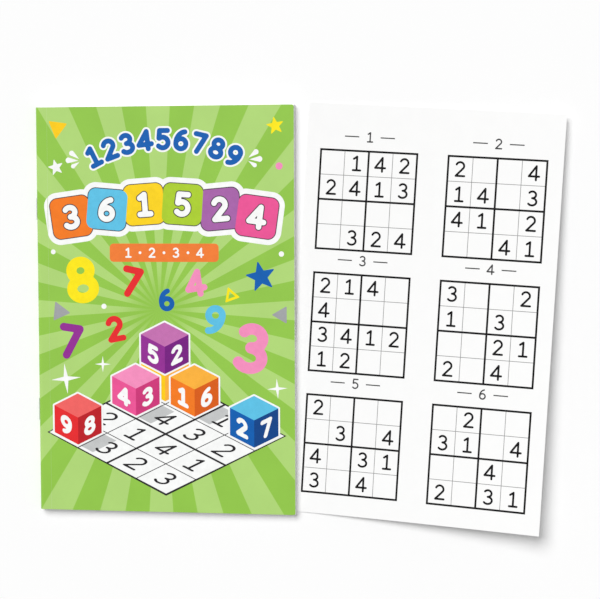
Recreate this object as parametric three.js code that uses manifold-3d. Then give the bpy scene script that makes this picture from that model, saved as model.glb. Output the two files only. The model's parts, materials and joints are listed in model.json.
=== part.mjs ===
// A stapled puzzle book: folded paper sheets nested in a card cover and held by two wire staples,
// with one puzzle leaf torn out along its perforation and tucked in beside the back cover.
//
// Millimetres, +Z up. The closed book lies on its back cover. The origin is the middle of the back
// cover's underside, +X points to the fore edge and +Y to the head. All sheets fold round one line,
// the fold axis, which runs along Y inside the innermost fold.

import * as THREE from 'three';
import { mergeVertices } from 'three/addons/utils/BufferGeometryUtils.js';
import Module from 'manifold-3d';

const wasm = await Module();
wasm.setup();

// Book
const trimWidth = 139.7;
const trimHeight = 215.9;
const coverThickness = 0.28;
const scoreDistance = 4; // from the fold axis to the score line that the front cover opens at
const sheetCount = 12;
const paperThickness = 0.12;
const paperGap = 0.03; // air between two sheets

// Staples
const wireDiameter = 0.5;
const clinchClearance = 0.1; // between the bent ends of the wire and the innermost fold
const holeClearance = 0.06; // round a staple leg in its pierced hole
const crownClearance = 0.03; // between the staple's back and the spine
const crownLength = 12;
const clinchLength = 4.8;
const wireBendRadius = 0.45; // at the middle of the wire
const stapleInset = 54; // from the head or tail to the middle of the nearer staple

// Tear-out leaf
const tornSheet = 2;
const tearDistance = 6.4; // from the spine's outside to the perforation
const leafTurn = THREE.MathUtils.degToRad(-3.5);
const leafTuck = 5.45; // how far its tail corner reaches in past the fore edge
const leafRise = 1.65; // of its tail corner above the book's tail
const leafFlat = 8; // width of the flat strip along its torn edge
const leafLiftHead = 4; // of the outer corner at the head
const leafLiftTail = 12; // of the outer corner at the tail

// Facets
const foldSegments = 12;
const wireSides = 8;
const bendSegments = 4;
const leafColumns = 14;
const leafRows = 6;
const mergeTolerance = 1e-5;
const foldEndGap = THREE.MathUtils.degToRad(0.5); // between a fold and the flat leaves it joins

// Sizes that follow from the ones above
const wireRadius = wireDiameter / 2;
const holeRadius = wireRadius + holeClearance;
const innerFoldRadius = wireRadius + clinchClearance;
const paperPitch = paperThickness + paperGap;
const outerSheetRadius = innerFoldRadius + (sheetCount - 1) * paperPitch + paperThickness;
const coverInnerRadius = outerSheetRadius + paperPitch + paperGap; // leaves room for the tucked leaf
const coverOuterRadius = coverInnerRadius + coverThickness;
const panelLength = trimWidth - coverOuterRadius;
const foldAxis = new THREE.Vector3(coverOuterRadius - trimWidth / 2, 0, coverOuterRadius);
// The wire holds the two halves apart at the fold, and the front half leans in to close at the fore edge
const frontLean = Math.asin((2 * innerFoldRadius - paperGap) / panelLength);
const stapleCentres = [trimHeight / 2 - stapleInset, stapleInset - trimHeight / 2];
const legPlaces = stapleCentres.flatMap((y) => [y + crownLength / 2, y - crownLength / 2]); // head to tail
const sheetRadius = (number) => innerFoldRadius + (sheetCount - number) * paperPitch;

const finishes = {
  coverPrint: { color: 0x93c74b, roughness: 0.35, metalness: 0 },
  coverBack: { color: 0xa9d46f, roughness: 0.4, metalness: 0 },
  paper: { color: 0xf4f3ee, roughness: 0.85, metalness: 0 },
  wire: { color: 0xb9bcc0, roughness: 0.3, metalness: 1 },
};

// Solids from three.js geometry, for the cuts

function toSolid(geometry) {
  const bare = geometry.clone();
  bare.deleteAttribute('normal');
  bare.deleteAttribute('uv');
  const merged = mergeVertices(bare, mergeTolerance);
  const vertProperties = new Float32Array(merged.attributes.position.array);
  const triVerts = new Uint32Array(merged.index.array);
  return new wasm.Manifold(new wasm.Mesh({ numProp: 3, vertProperties, triVerts }));
}

function toGeometry(solid) {
  const mesh = solid.getMesh();
  const geometry = new THREE.BufferGeometry();
  geometry.setAttribute('position', new THREE.BufferAttribute(new Float32Array(mesh.vertProperties), 3));
  geometry.setIndex(new THREE.BufferAttribute(new Uint32Array(mesh.triVerts), 1));
  return geometry;
}

function piece(name, geometry, finish) {
  const mesh = new THREE.Mesh(geometry, new THREE.MeshStandardMaterial(finish));
  mesh.name = name;
  return mesh;
}

// Flat leaves and cover panels, in the fold axis's own frame

// A flat plate from one distance to another, with the half holes that the staple legs leave at the fold
function plate(start, end, thickness) {
  const half = trimHeight / 2;
  const outline = new THREE.Shape();
  outline.moveTo(start, -half);
  outline.lineTo(end, -half);
  outline.lineTo(end, half);
  outline.lineTo(start, half);
  if (start === 0) {
    for (const y of legPlaces) {
      outline.lineTo(0, y + holeRadius);
      outline.absarc(0, y, holeRadius, Math.PI / 2, -Math.PI / 2, true);
    }
  }
  outline.closePath();
  const options = { depth: thickness, bevelEnabled: false, curveSegments: bendSegments };
  return new THREE.ExtrudeGeometry(outline, options);
}

// The half round fold of one sheet, open to the fore edge, pierced by the staple legs
function fold(innerRadius, thickness) {
  const outerRadius = innerRadius + thickness;
  const low = 1.5 * Math.PI - foldEndGap;
  const high = Math.PI / 2 - frontLean + foldEndGap;
  const section = new THREE.Shape();
  section.absarc(0, 0, outerRadius, low, high, true);
  section.absarc(0, 0, innerRadius, high, low, false);
  section.closePath();
  const strip = new THREE.ExtrudeGeometry(section, {
    depth: trimHeight,
    bevelEnabled: false,
    curveSegments: foldSegments,
  });
  strip.rotateX(Math.PI / 2);
  strip.translate(0, trimHeight / 2, 0);
  let solid = toSolid(strip);
  for (const y of legPlaces) {
    const leg = new THREE.CylinderGeometry(holeRadius, holeRadius, 2 * outerRadius, wireSides);
    leg.rotateZ(Math.PI / 2);
    leg.translate(-outerRadius, y, 0);
    solid = solid.subtract(toSolid(leg));
  }
  return toGeometry(solid);
}

// Staples: crown outside the spine, legs through every fold, ends clinched along the fold axis

// A round wire along a path that lies flat in the XY plane
function wire(path) {
  const positions = [];
  const index = [];
  const last = path.length - 1;
  path.forEach((point, i) => {
    const before = path[Math.max(i - 1, 0)];
    const after = path[Math.min(i + 1, last)];
    const along = after.clone().sub(before).normalize();
    for (let side = 0; side < wireSides; side += 1) {
      const turn = (2 * Math.PI * side) / wireSides;
      const out = wireRadius * Math.cos(turn);
      positions.push(point.x - along.y * out, point.y + along.x * out, wireRadius * Math.sin(turn));
    }
  });
  const ring = (i, side) => i * wireSides + (side % wireSides);
  for (let i = 0; i < last; i += 1) {
    for (let side = 0; side < wireSides; side += 1) {
      index.push(ring(i, side), ring(i, side + 1), ring(i + 1, side));
      index.push(ring(i, side + 1), ring(i + 1, side + 1), ring(i + 1, side));
    }
  }
  for (let side = 1; side < wireSides - 1; side += 1) {
    index.push(ring(0, 0), ring(0, side + 1), ring(0, side));
    index.push(ring(last, 0), ring(last, side), ring(last, side + 1));
  }
  const geometry = new THREE.BufferGeometry();
  geometry.setAttribute('position', new THREE.Float32BufferAttribute(positions, 3));
  geometry.setIndex(index);
  return geometry;
}

// One bend of the wire, a quarter circle round a centre
function quarterBend(x, y, from, to) {
  return Array.from({ length: bendSegments + 1 }, (_, i) => {
    const turn = from + ((to - from) * i) / bendSegments;
    return new THREE.Vector2(x + wireBendRadius * Math.cos(turn), y + wireBendRadius * Math.sin(turn));
  });
}

function staple() {
  const half = crownLength / 2;
  const crown = -(coverOuterRadius + crownClearance + wireRadius);
  const bend = half - wireBendRadius;
  const quarter = Math.PI / 2;
  return wire([
    new THREE.Vector2(0, half - clinchLength),
    ...quarterBend(-wireBendRadius, bend, 0, quarter),
    ...quarterBend(crown + wireBendRadius, bend, quarter, 2 * quarter),
    ...quarterBend(crown + wireBendRadius, -bend, 2 * quarter, 3 * quarter),
    ...quarterBend(-wireBendRadius, -bend, 3 * quarter, 4 * quarter),
    new THREE.Vector2(0, clinchLength - half),
  ]);
}

// Tear-out leaf: flat where it is tucked in, and lifting towards its outer edge, most at the tail

function leafHeight(across, up, width) {
  const rise = Math.max(0, (across - leafFlat) / (width - leafFlat)) ** 2;
  return rise * THREE.MathUtils.lerp(leafLiftTail, leafLiftHead, up / trimHeight);
}

function tearOutLeaf() {
  const width = trimWidth - tearDistance;
  const across = [0, ...Array.from({ length: leafColumns }, (_, i) => {
    return leafFlat + ((width - leafFlat) * i) / (leafColumns - 1);
  })];
  const up = Array.from({ length: leafRows + 1 }, (_, i) => (trimHeight * i) / leafRows);
  const positions = [];
  for (const base of [0, paperThickness]) {
    for (const y of up) {
      for (const x of across) {
        positions.push(x, y, base + leafHeight(x, y, width));
      }
    }
  }
  const wide = across.length;
  const layer = wide * up.length;
  const at = (column, row, top) => top * layer + row * wide + column;
  const index = [];
  const quad = (a, b, c, d) => index.push(a, b, c, a, c, d);
  for (let row = 0; row < leafRows; row += 1) {
    for (let column = 0; column < wide - 1; column += 1) {
      quad(at(column, row, 1), at(column + 1, row, 1), at(column + 1, row + 1, 1), at(column, row + 1, 1));
      quad(at(column, row, 0), at(column, row + 1, 0), at(column + 1, row + 1, 0), at(column + 1, row, 0));
    }
    quad(at(0, row, 0), at(0, row, 1), at(0, row + 1, 1), at(0, row + 1, 0));
    quad(at(wide - 1, row, 0), at(wide - 1, row + 1, 0), at(wide - 1, row + 1, 1), at(wide - 1, row, 1));
  }
  for (let column = 0; column < wide - 1; column += 1) {
    quad(at(column, 0, 0), at(column + 1, 0, 0), at(column + 1, 0, 1), at(column, 0, 1));
    const head = leafRows;
    quad(at(column, head, 0), at(column, head, 1), at(column + 1, head, 1), at(column + 1, head, 0));
  }
  const geometry = new THREE.BufferGeometry();
  geometry.setAttribute('position', new THREE.Float32BufferAttribute(positions, 3));
  geometry.setIndex(index);
  return geometry;
}

// Assembly

const book = new THREE.Group();
const backHalf = new THREE.Group();
const frontHalf = new THREE.Group();
backHalf.position.copy(foldAxis);
frontHalf.position.copy(foldAxis);
frontHalf.rotation.y = frontLean;
book.add(backHalf, frontHalf);

function addFront(name, geometry, radius, finish) {
  const mesh = piece(name, geometry, finish);
  mesh.position.z = radius;
  frontHalf.add(mesh);
}

function addBack(name, geometry, radius, thickness, finish) {
  const mesh = piece(name, geometry, finish);
  mesh.position.z = -radius - thickness;
  backHalf.add(mesh);
}

// Card cover: back panel, round spine, hinge strip up to the score line, front panel
const backPanel = plate(0, panelLength, coverThickness);
addBack('back_cover', backPanel, coverInnerRadius, coverThickness, finishes.coverBack);
backHalf.add(piece('cover_spine', fold(coverInnerRadius, coverThickness), finishes.coverPrint));
addFront('front_hinge_strip', plate(0, scoreDistance, coverThickness), coverInnerRadius, finishes.coverPrint);
const frontPanel = plate(scoreDistance, panelLength, coverThickness);
addFront('front_cover', frontPanel, coverInnerRadius, finishes.coverPrint);

// Folded sheets, numbered from the outermost
for (let number = 1; number <= sheetCount; number += 1) {
  const label = `sheet_${String(number).padStart(2, '0')}`;
  const radius = sheetRadius(number);
  const torn = number === tornSheet;
  const frontLength = torn ? tearDistance - coverOuterRadius : panelLength;
  const frontName = torn ? `${label}_front_stub` : `${label}_front`;
  addBack(`${label}_back`, plate(0, panelLength, paperThickness), radius, paperThickness, finishes.paper);
  backHalf.add(piece(`${label}_fold`, fold(radius, paperThickness), finishes.paper));
  addFront(frontName, plate(0, frontLength, paperThickness), radius, finishes.paper);
}

// Staples at head and tail
const stapleNames = ['staple_head', 'staple_tail'];
stapleCentres.forEach((y, i) => {
  const mesh = piece(stapleNames[i], staple(), finishes.wire);
  mesh.position.y = y;
  backHalf.add(mesh);
});

// Tear-out leaf, between the back cover and the last leaf
const leaf = piece('tear_out_leaf', tearOutLeaf(), finishes.paper);
leaf.position.set(trimWidth / 2 - leafTuck, leafRise - trimHeight / 2, coverThickness + paperGap);
leaf.rotation.z = leafTurn;
book.add(leaf);

export default book;
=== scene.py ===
"""A stapled number puzzle book with one torn-out puzzle leaf, dressed and lit for Blender 4.5."""

import json
import math
import random

import bmesh
import bpy
import numpy as np
from bpy.props import FloatProperty, FloatVectorProperty, IntProperty, PointerProperty
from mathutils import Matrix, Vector
from mathutils.geometry import tessellate_polygon

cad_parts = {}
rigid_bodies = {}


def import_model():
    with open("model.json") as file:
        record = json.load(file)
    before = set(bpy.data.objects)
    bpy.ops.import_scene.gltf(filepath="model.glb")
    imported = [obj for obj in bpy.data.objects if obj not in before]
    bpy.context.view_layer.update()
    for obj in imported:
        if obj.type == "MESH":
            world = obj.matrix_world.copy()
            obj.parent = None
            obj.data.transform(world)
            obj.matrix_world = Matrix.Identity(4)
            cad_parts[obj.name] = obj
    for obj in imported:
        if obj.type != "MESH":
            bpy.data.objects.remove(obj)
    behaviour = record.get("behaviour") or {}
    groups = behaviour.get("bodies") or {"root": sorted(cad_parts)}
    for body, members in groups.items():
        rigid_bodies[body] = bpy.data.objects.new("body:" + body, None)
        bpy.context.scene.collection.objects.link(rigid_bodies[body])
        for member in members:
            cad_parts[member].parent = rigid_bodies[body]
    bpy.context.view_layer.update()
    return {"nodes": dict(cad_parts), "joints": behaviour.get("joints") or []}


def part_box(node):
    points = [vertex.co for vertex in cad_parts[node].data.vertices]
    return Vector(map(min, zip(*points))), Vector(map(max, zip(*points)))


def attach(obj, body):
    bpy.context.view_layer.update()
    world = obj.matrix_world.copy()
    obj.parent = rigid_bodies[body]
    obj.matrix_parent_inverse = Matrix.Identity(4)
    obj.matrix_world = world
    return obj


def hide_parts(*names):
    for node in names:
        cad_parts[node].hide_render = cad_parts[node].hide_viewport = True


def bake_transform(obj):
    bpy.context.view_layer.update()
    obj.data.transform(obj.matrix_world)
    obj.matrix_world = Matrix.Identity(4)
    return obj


for startup_object in list(bpy.data.objects):
    bpy.data.objects.remove(startup_object)
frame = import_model()

bl_info = {
    "name": "Puzzle Book Dresser",
    "version": (1, 0, 0),
    "blender": (4, 5, 0),
    "location": "View3D > Sidebar > Puzzle Book",
    "description": "Dresses the solids of a stapled number puzzle book with card, paper, print and wire",
    "category": "Object",
}

MM = 0.001


# Sizes read from the frame
def joint_place(name):
    """The point that a joint of the frame turns about."""
    return next(joint["pos_m"] for joint in frame["joints"] if joint["name"] == name)


def thickness(node):
    """Size of one solid of the frame from its underside to its top."""
    low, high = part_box(node)
    return high.z - low.z


def sheet_name(number):
    return f"sheet_{number:02d}"


def sheet_radius(number):
    """Inner radius of one sheet's fold."""
    return FOLD_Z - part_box(f"{sheet_name(number)}_back")[1].z


FOLD_X, _, FOLD_Z = joint_place("book_opening")
BACK_LOW, BACK_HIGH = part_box("back_cover")
TRIM_HEIGHT = BACK_HIGH.y - BACK_LOW.y
TRIM_RIGHT = BACK_HIGH.x
PANEL = TRIM_RIGHT - FOLD_X
CARD = thickness("back_cover")
PAPER = thickness("sheet_01_back")
COVER_OUTER = FOLD_Z
COVER_INNER = COVER_OUTER - CARD
COVER_RADII = (COVER_INNER, COVER_OUTER)
SHEET_COUNT = sum(name.endswith("_fold") for name in frame["nodes"])
MIDDLE_SHEET = sheet_name(SHEET_COUNT)
MIDDLE_RADIUS = sheet_radius(SHEET_COUNT)
FRONT_DROP = FOLD_Z + MIDDLE_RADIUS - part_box(f"{MIDDLE_SHEET}_front")[0].z
FRONT_LEAN = math.asin(FRONT_DROP / PANEL)
HINGE_X = joint_place("front_cover_hinge")[0]
SCORE = (HINGE_X - FOLD_X - COVER_OUTER * math.sin(FRONT_LEAN)) / math.cos(FRONT_LEAN)
STUB_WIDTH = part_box("sheet_02_front_stub")[1].x - FOLD_X
LEAF_LOW, LEAF_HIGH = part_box("tear_out_leaf")
STAPLE_NODES = ("staple_head", "staple_tail")
WIRE = thickness("staple_head") / 2
LEG_PLACES = sorted(end.y + turn * WIRE for node in STAPLE_NODES
                    for end, turn in zip(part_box(node), (1, -1)))


# What a user would change
def srgb(red, green, blue):
    """A screen colour of 0 to 255 as linear values."""
    def linear(value):
        value /= 255
        return value / 12.92 if value <= 0.04045 else ((value + 0.055) / 1.055) ** 2.4
    return linear(red), linear(green), linear(blue)


def colour_property(name, description, default):
    return FloatVectorProperty(name=name, description=description, default=default, subtype="COLOR",
                               min=0, max=1)


def length_property(name, description, millimetres):
    return FloatProperty(name=name, description=description, default=millimetres * MM, unit="LENGTH",
                         subtype="DISTANCE", precision=5)


def angle_property(name, description, degrees):
    return FloatProperty(name=name, description=description, default=math.radians(degrees), subtype="ANGLE")


def share_property(name, description, default, low=0, high=1):
    return FloatProperty(name=name, description=description, default=default, min=low, max=high,
                         subtype="FACTOR")


def count_property(name, description, default, least):
    return IntProperty(name=name, description=description, default=default, min=least)


class CoverSettings(bpy.types.PropertyGroup):
    """Card cover and its print"""
    green_dark: colour_property("Dark rays", "Darker green of the sunburst", srgb(145, 197, 74))
    green_light: colour_property("Light rays", "Lighter green of the sunburst", srgb(175, 214, 119))
    ray_pairs: count_property("Ray pairs", "Light and dark rays round the burst", 24, 6)
    burst_x: length_property("Burst across", "Place of the burst's centre from the cover's middle", -2.6)
    burst_y: length_property("Burst up", "Height of the burst's centre from the cover's middle", 0.4)
    burst_stretch: share_property("Burst stretch", "How much taller than wide the burst is", 1.09, 0.5, 2)
    corner: length_property("Corner", "Rounding of the fore edge corners", 1.0)
    crease: length_property("Crease", "Strip without ink on the spine side of the score line", 0.14)
    card: colour_property("Card", "Bare card inside the cover and along its edges", (0.9, 0.9, 0.88))


class PageSettings(bpy.types.PropertyGroup):
    """Puzzle pages"""
    paper: colour_property("Paper", "Uncoated page paper", (0.962, 0.962, 0.958))
    ink: colour_property("Ink", "Black of the grids and numbers", (0.006, 0.006, 0.0065))
    heading_ink: colour_property("Heading ink", "Grey of the puzzle numbers", (0.06, 0.06, 0.062))
    hair_ink: colour_property("Hairline ink", "Grey of the thin cell lines", (0.3, 0.3, 0.3))
    side: length_property("Grid side", "Height of one puzzle grid", 51.8)
    narrow: share_property("Narrowing", "Width of the print as a share of its drawn width", 0.976, 0.8, 1.2)
    column_pitch: length_property("Column pitch", "From one drawn grid to the next across the page", 68.5)
    row_pitch: length_property("Row pitch", "From one grid to the next down the page", 64.5)
    drop: length_property("Drop", "How far the grids sit below the page's middle", 6.5)
    bold: length_property("Bold line", "Width of the border and middle lines", 1.05)
    hair: length_property("Hairline", "Width of the thin cell lines", 0.34)
    numeral: length_property("Numeral", "Height of a number in a cell", 8.2)
    heading: length_property("Heading", "Height of a puzzle's number", 5.5)
    heading_rise: length_property("Heading rise", "Middle of the heading above the grid's top line", 7.4)
    gutter: length_property("Gutter shift", "How far a bound page's print sits from the trim's middle", 3.2)
    lesson_side: length_property("Lesson grid", "Side of the grids on the first page", 76)
    lesson_pitch: length_property("Lesson pitch", "From the first page's puzzle down to its solution", 98)
    seed: count_property("Seed", "Picks the puzzles", 41, 0)


class LeafSettings(bpy.types.PropertyGroup):
    """Torn-out leaf"""
    turn: angle_property("Turn", "How the leaf lies beside the book", -3.5)
    flat: length_property("Flat strip", "Part at the torn edge that lies flat", 8)
    lift_head: length_property("Head lift", "Rise of the free edge at the head", 4)
    lift_tail: length_property("Tail lift", "Rise of the free edge at the tail", 12)
    bend: share_property("Bend", "Power of the rise across the leaf: one is a straight slope", 1.3, 1, 3)
    print_shift: length_property("Print shift", "How far the print sits off the leaf's middle", -0.35)
    tooth_pitch: length_property("Tooth pitch", "From one perforation tooth to the next", 1.6)
    tooth_depth: length_property("Tooth depth", "How far the torn teeth stand out", 0.3)


class WireSettings(bpy.types.PropertyGroup):
    """Staples"""
    steel: colour_property("Steel", "Bright staple wire", (0.62, 0.63, 0.65))
    sides: count_property("Sides", "Faces round the wire", 16, 6)
    clinch: length_property("Clinch", "Length of each folded wire end", 4.8)
    bend: length_property("Bend", "Bend radius of the wire", 0.45)
    hole: length_property("Hole", "Room round the wire where it goes through the folds", 0.06)


class StageSettings(bpy.types.PropertyGroup):
    """Floor, light and camera"""
    floor: colour_property("Floor", "Pale floor", (0.985, 0.985, 0.985))
    camera_place: FloatVectorProperty(name="Camera", description="Where the camera stands",
                                      subtype="TRANSLATION", default=(0.21415, 0.06117, 0.9))
    camera_turn: FloatVectorProperty(name="Turn", description="How the camera is turned", subtype="EULER",
                                     default=(-0.061253, 0.156321, -0.004197))
    lens: FloatProperty(name="Lens", description="Focal length in millimetres", default=104.01, min=10)
    key: share_property("Key", "Share of the light that comes from the soft key lamp", 0.68)
    key_spread: angle_property("Key spread", "Apparent size of the key lamp", 40)
    key_side: angle_property("Key side", "Direction that the key light comes from", 114)
    key_height: angle_property("Key height", "Height of the key light above the floor", 58)


# Nodes of any tree
def set_inputs(tree, node, inputs):
    """Sets a node's inputs by name or place, and links those whose value is another node's output."""
    for key, value in inputs.items():
        if isinstance(value, bpy.types.NodeSocket):
            tree.links.new(value, node.inputs[key])
        else:
            node.inputs[key].default_value = value


def add_node(tree, kind, inputs=None, **settings):
    node = tree.nodes.new(kind)
    for name, value in settings.items():
        setattr(node, name, value)
    set_inputs(tree, node, inputs or {})
    return node


def math_node(tree, operation, *values, clamp=False):
    node = add_node(tree, "ShaderNodeMath", dict(enumerate(values)), operation=operation, use_clamp=clamp)
    return node.outputs[0]


def vector_node(tree, x=0.0, y=0.0, z=0.0):
    return add_node(tree, "ShaderNodeCombineXYZ", {"X": x, "Y": y, "Z": z}).outputs[0]


def step_node(tree, value, start, end, low=0.0, high=1.0):
    """A smooth step from low, where the value is at start, to high at end."""
    inputs = {"Value": value, "From Min": start, "From Max": end, "To Min": low, "To Max": high}
    return add_node(tree, "ShaderNodeMapRange", inputs, interpolation_type="SMOOTHSTEP").outputs["Result"]


# Nodes of materials
def solid(colour):
    return (*colour, 1.0)


def mix_colour(tree, factor, first, second, blend="MIX"):
    inputs = {0: factor, 6: first, 7: second}
    return add_node(tree, "ShaderNodeMix", inputs, data_type="RGBA", blend_type=blend).outputs[2]


def shaded(tree, colour, shade):
    """A colour times a shade that varies over the surface."""
    return mix_colour(tree, 1.0, colour, shade, "MULTIPLY")


def noise(tree, place, scale, detail):
    inputs = {"Vector": place, "Scale": scale, "Detail": detail, "Roughness": 0.55}
    return add_node(tree, "ShaderNodeTexNoise", inputs).outputs["Fac"]


def strand_noise(tree, place, scales, detail, distortion=0.0):
    """Noise with its own scale along each axis, drawn out where that is small."""
    stretched = add_node(tree, "ShaderNodeMapping", {"Vector": place, "Scale": scales}).outputs[0]
    inputs = {"Vector": stretched, "Scale": 1.0, "Detail": detail, "Distortion": distortion}
    return add_node(tree, "ShaderNodeTexNoise", inputs).outputs["Fac"]


def start_material(name):
    """An empty material, with its tree, its surface shader and Object coordinates."""
    material = bpy.data.materials.new(name)
    material.use_nodes = True
    tree = material.node_tree
    tree.nodes.clear()
    surface = add_node(tree, "ShaderNodeBsdfPrincipled")
    add_node(tree, "ShaderNodeOutputMaterial", {"Surface": surface.outputs[0]})
    place = add_node(tree, "ShaderNodeTexCoord").outputs["Object"]
    return material, tree, surface, place


def add_bump(tree, surface, height, strength, distance):
    bump = add_node(tree, "ShaderNodeBump", {"Height": height, "Strength": strength, "Distance": distance})
    set_inputs(tree, surface, {"Normal": bump.outputs[0]})


# Materials
RAY_EDGE = 0.04
BURST_FADE = (3 * MM, 24 * MM)
RUBBED_WIDTH = 0.22 * MM
FIBRE_SHADE = 1 - 0.014
PAGE_TOOTH = 0.1
CARD_TOOTH = 0.2


def laminate(tree, surface, place):
    """Satin film over print: a faint ripple, finger-dulled patches and a thin coat."""
    patches = noise(tree, place, scale=28, detail=4)
    set_inputs(tree, surface, {
        "Coat Weight": 0.06, "Coat Roughness": 0.25, "Specular IOR Level": 0.14,
        "Roughness": step_node(tree, patches, start=0.3, end=0.75, low=0.4, high=0.52)})
    add_bump(tree, surface, noise(tree, place, scale=900, detail=2), strength=0.04, distance=0.1 * MM)


def sunburst(tree, place, axes, cover):
    """Rays of two greens round the burst's centre, where they fade into one."""
    across = math_node(tree, "SUBTRACT", axes["X"], cover.burst_x)
    up = math_node(tree, "SUBTRACT", axes["Y"], cover.burst_y)
    up = math_node(tree, "DIVIDE", up, cover.burst_stretch)
    angle = math_node(tree, "ARCTAN2", up, across)
    wave = math_node(tree, "COSINE", math_node(tree, "MULTIPLY", angle, float(cover.ray_pairs)))
    squares = [math_node(tree, "MULTIPLY", side, side) for side in (across, up)]
    radius = math_node(tree, "SQRT", math_node(tree, "ADD", *squares))
    ray = math_node(tree, "MULTIPLY", step_node(tree, wave, start=-RAY_EDGE, end=RAY_EDGE),
                    step_node(tree, radius, *BURST_FADE, low=0.1))
    green = mix_colour(tree, ray, solid(cover.green_dark), solid(cover.green_light))
    mottle = noise(tree, place, scale=45, detail=4)
    return shaded(tree, green, step_node(tree, mottle, start=0.25, end=0.75, low=0.97, high=1.03))


def print_wear(tree, place, axes, cover):
    """How far the card shows: in patches along the trimmed edges, and faintly beside the score line."""
    side = math_node(tree, "SUBTRACT", TRIM_RIGHT, math_node(tree, "ABSOLUTE", axes["X"]))
    end = math_node(tree, "SUBTRACT", TRIM_HEIGHT / 2, math_node(tree, "ABSOLUTE", axes["Y"]))
    edge = math_node(tree, "MINIMUM", side, end)
    rim = step_node(tree, edge, start=0.0, end=RUBBED_WIDTH, low=1.0, high=0.0)
    patches = step_node(tree, noise(tree, place, scale=620, detail=4), start=0.56, end=0.72, high=0.4)
    off_score = math_node(tree, "ABSOLUTE", math_node(tree, "SUBTRACT", axes["X"], FOLD_X + SCORE))
    creased = step_node(tree, off_score, start=0.0, end=cover.crease, low=0.14, high=0.0)
    return math_node(tree, "MAXIMUM", math_node(tree, "MULTIPLY", rim, patches), creased)


def cover_print_material(name, cover):
    """Printed outside of the cover: a two-green sunburst, rubbed pale along the trimmed edges."""
    material, tree, surface, place = start_material(name)
    axes = add_node(tree, "ShaderNodeSeparateXYZ", {"Vector": place}).outputs
    green = mix_colour(tree, print_wear(tree, place, axes, cover), sunburst(tree, place, axes, cover),
                       solid(cover.card))
    set_inputs(tree, surface, {"Base Color": green})
    laminate(tree, surface, place)
    return material


def paper_material(name, colour, tooth):
    """Uncoated stock: soft mottling, short fibres and a fine tooth."""
    material, tree, surface, place = start_material(name)
    cloud = step_node(tree, noise(tree, place, scale=130, detail=5), start=0.25, end=0.75, low=FIBRE_SHADE)
    strands = strand_noise(tree, place, scales=(2200, 600, 900), detail=2.0, distortion=0.8)
    speck = step_node(tree, strands, start=0.62, end=0.78, low=1.0, high=FIBRE_SHADE)
    shade = math_node(tree, "MULTIPLY", cloud, speck)
    set_inputs(tree, surface, {"Base Color": shaded(tree, solid(colour), shade), "Roughness": 0.86,
                               "Specular IOR Level": 0.2})
    add_bump(tree, surface, strands, strength=tooth, distance=0.03 * MM)
    return material


def ink_material(name, colour, filmed):
    """Printed ink with a slightly uneven lay, under film on the cover and bare on the pages."""
    material, tree, surface, place = start_material(name)
    lay = step_node(tree, noise(tree, place, scale=320, detail=4), start=0.25, end=0.8, low=0.95, high=1.04)
    set_inputs(tree, surface, {"Base Color": shaded(tree, solid(colour), lay)})
    if filmed:
        laminate(tree, surface, place)
    else:
        set_inputs(tree, surface, {"Roughness": 0.75, "Specular IOR Level": 0.1})
        add_bump(tree, surface, noise(tree, place, scale=1600, detail=2), strength=0.08, distance=0.02 * MM)
    return material


def steel_material(name, colour):
    """Drawn staple wire with fine lengthwise scratches."""
    material, tree, surface, place = start_material(name)
    drawn = strand_noise(tree, place, scales=(9000, 500, 9000), detail=3.0)
    tint = step_node(tree, drawn, start=0.3, end=0.7, low=0.85, high=1.05)
    set_inputs(tree, surface, {
        "Base Color": shaded(tree, solid(colour), tint), "Metallic": 1.0,
        "Roughness": step_node(tree, drawn, start=0.3, end=0.7, low=0.22, high=0.38)})
    add_bump(tree, surface, drawn, strength=0.15, distance=0.02 * MM)
    return material


def floor_material(name, colour):
    """Matt floor of an almost even tone."""
    material, tree, surface, place = start_material(name)
    grain = step_node(tree, noise(tree, place, scale=6, detail=2), start=0.3, end=0.7, low=0.998)
    set_inputs(tree, surface, {"Base Color": shaded(tree, solid(colour), grain), "Roughness": 0.95,
                               "Specular IOR Level": 0.0})
    return material


def shared_material(name, make, *settings):
    """One material of each name, made when it is first asked for."""
    return bpy.data.materials.get(name) or make(name, *settings)


def page_paper():
    page = bpy.context.scene.puzzle_pages
    return shared_material("page_paper_stock", paper_material, page.paper, PAGE_TOOTH)


def cover_card():
    """Materials of the cover's printed outside, its bare inside and its edges."""
    cover = bpy.context.scene.puzzle_cover
    bare = shared_material("bare_cover_card", paper_material, cover.card, CARD_TOOTH)
    return [shared_material("cover_sunburst_print", cover_print_material, cover), bare, bare]


def page_ink(name):
    page = bpy.context.scene.puzzle_pages
    colours = {"page_ink_black": page.ink, "page_ink_grey": page.heading_ink,
               "page_ink_hairline": page.hair_ink}
    return shared_material(name, ink_material, colours[name], False)


# Meshes
OUTSIDE, INSIDE, RIM = range(3)
SHARP_ANGLE = math.radians(40)


def steps(start, end, count):
    return [start + (end - start) * index / count for index in range(count + 1)]


def new_object(name, data):
    piece = bpy.data.objects.new(name, data)
    bpy.context.scene.collection.objects.link(piece)
    return piece


def new_mesh(name, points, faces, materials=(), slots=()):
    mesh = bpy.data.meshes.new(name)
    mesh.from_pydata(points, [], faces)
    for material in materials:
        mesh.materials.append(material)
    if slots:
        mesh.polygons.foreach_set("material_index", slots)
    return mesh


def tidy_mesh(mesh):
    """Drops unused points and turns all faces of a closed mesh outwards."""
    work = bmesh.new()
    work.from_mesh(mesh)
    loose = [vert for vert in work.verts if not vert.link_faces]
    bmesh.ops.delete(work, geom=loose, context="VERTS")
    bmesh.ops.recalc_face_normals(work, faces=work.faces)
    work.to_mesh(mesh)
    work.free()
    return mesh


def set_out(mesh, place):
    """Moves each point of a flat mesh to where place puts it."""
    for vert in mesh.vertices:
        vert.co = place(*vert.co)


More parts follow.
